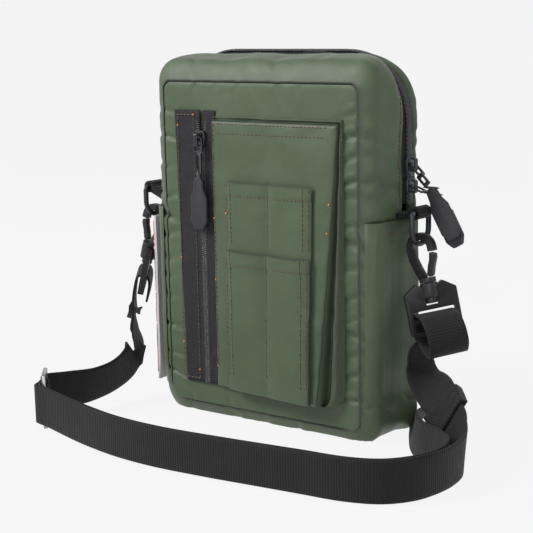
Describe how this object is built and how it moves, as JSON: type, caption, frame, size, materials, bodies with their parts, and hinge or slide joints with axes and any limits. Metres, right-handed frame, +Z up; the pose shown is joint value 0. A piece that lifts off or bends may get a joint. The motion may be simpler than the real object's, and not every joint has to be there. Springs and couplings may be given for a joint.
{
  "type": "utility crossbody bag",
  "caption": "Upright zip-top utility crossbody bag with a bellows front pocket, slip pockets, swivel snap hooks and a webbing shoulder strap with an adjuster slide.",
  "frame": {"origin": "middle of the flat underside of the bag", "axes": "+Z up the bag, the front pocket faces -Y, +X to the right of a viewer who faces the front"},
  "size_m": [0.3073, 0.1669, 0.238],
  "materials": {
    "green_nylon": "coated woven nylon, soft sheen",
    "dark_green_nylon": "coated woven nylon in shade of the bellows",
    "black_webbing": "ribbed black webbing",
    "black_tape": "twill zip tape and binding",
    "black_coil": "nylon zip coil",
    "gunmetal": "dark plated zinc",
    "graphite_rubber": "moulded soft grip",
    "black_plastic": "moulded acetal",
    "grey_felt": "napped loop panel",
    "patch_print": null,
    "board": "stiffener sheet"
  },
  "bodies": {
    "bag": {"back_panel": "green_nylon", "back_seam_binding": "black_tape", "base_board": "board", "front_gusset": "green_nylon", "front_panel": "green_nylon", "front_seam_binding": "black_tape", "lower_gusset": "green_nylon", "main_zip_chain": "black_coil", "main_zip_tape_front": "black_tape", "main_zip_tape_rear": "black_tape", "pen_pocket_short": "green_nylon", "pen_pocket_tall": "green_nylon", "pocket_bellows": "dark_green_nylon", "pocket_face": "green_nylon", "pocket_zip_chain": "black_coil", "pocket_zip_strip": "black_tape", "pocket_zip_tape": "black_tape", "rear_gusset": "green_nylon", "side_patch": "patch_print", "side_patch_panel": "grey_felt", "side_pocket_left": "green_nylon", "side_pocket_right": "green_nylon", "strap_base_left": "black_plastic", "strap_base_right": "black_plastic", "strap_keeper": "black_webbing", "strap_long": "black_webbing", "strap_short": "black_webbing", "strap_slide": "gunmetal", "tab_left": "black_plastic", "tab_right": "black_plastic"},
    "main_slider_upper": {"main_slider_upper": "gunmetal"},
    "main_slider_lower": {"main_slider_lower": "gunmetal"},
    "main_pull_upper": {"main_pull_upper": "gunmetal", "main_grip_upper": "graphite_rubber"},
    "main_pull_lower": {"main_pull_lower": "gunmetal", "main_grip_lower": "graphite_rubber"},
    "pocket_slider": {"pocket_slider": "gunmetal"},
    "pocket_pull": {"pocket_pull": "gunmetal", "pocket_grip": "graphite_rubber"},
    "ring_right": {"ring_right": "black_plastic"},
    "ring_left": {"ring_left": "black_plastic"},
    "hook_right": {"hook_right": "black_plastic"},
    "hook_left": {"hook_left": "black_plastic"},
    "gate_right": {"gate_right": "black_plastic"},
    "gate_left": {"gate_left": "black_plastic"}
  },
  "joints": [
    {"name": "main_slider_upper_slide", "type": "slide", "parent": "bag", "child": "main_slider_upper", "axis": [0, 0, 1], "range_m": [0, 0.018]},
    {"name": "main_slider_lower_slide", "type": "slide", "parent": "bag", "child": "main_slider_lower", "axis": [0, 0, 1], "range_m": [-0.003, 0]},
    {"name": "main_pull_upper_hinge", "type": "hinge", "parent": "main_slider_upper", "child": "main_pull_upper", "pos_m": [0.0919, 0.009, 0.1698], "axis": [0, -1, 0], "range_deg": [0, 60]},
    {"name": "main_pull_lower_hinge", "type": "hinge", "parent": "main_slider_lower", "child": "main_pull_lower", "pos_m": [0.0919, 0.009, 0.1565], "axis": [0, -1, 0], "range_deg": [0, 24]},
    {"name": "pocket_slider_slide", "type": "slide", "parent": "bag", "child": "pocket_slider", "axis": [0, 0, -1], "range_m": [0, 0.145]},
    {"name": "pocket_pull_hinge", "type": "hinge", "parent": "pocket_slider", "child": "pocket_pull", "pos_m": [-0.0425, -0.0356, 0.1835], "axis": [-1, 0, 0], "range_deg": [0, 160]},
    {"name": "ring_right_hinge", "type": "hinge", "parent": "bag", "child": "ring_right", "pos_m": [0.1015, 0.002, 0.142], "axis": [0, 1, 0], "range_deg": [-1.5, 1.5]},
    {"name": "ring_left_hinge", "type": "hinge", "parent": "bag", "child": "ring_left", "pos_m": [-0.108, -0.006, 0.147], "axis": [0, 1, 0], "range_deg": [-1.5, 1.5]},
    {"name": "hook_right_swivel", "type": "hinge", "parent": "bag", "child": "hook_right", "pos_m": [0.10697, 0.002, 0.09912], "axis": [-0.225, 0, 0.9744], "range_deg": [-8, 8]},
    {"name": "hook_left_swivel", "type": "hinge", "parent": "bag", "child": "hook_left", "pos_m": [-0.1147, -0.006, 0.10444], "axis": [0.2756, 0, 0.9613], "range_deg": [-8, 8]},
    {"name": "gate_right_hinge", "type": "hinge", "parent": "hook_right", "child": "gate_right", "pos_m": [0.10904, 0.002, 0.10525], "axis": [0, -1, 0], "range_deg": [0, 20], "stiffness_Nm_per_rad": 0.02},
    {"name": "gate_left_hinge", "type": "hinge", "parent": "hook_left", "child": "gate_left", "pos_m": [-0.11645, -0.006, 0.11066], "axis": [0, 1, 0], "range_deg": [0, 20], "stiffness_Nm_per_rad": 0.02}
  ]
}
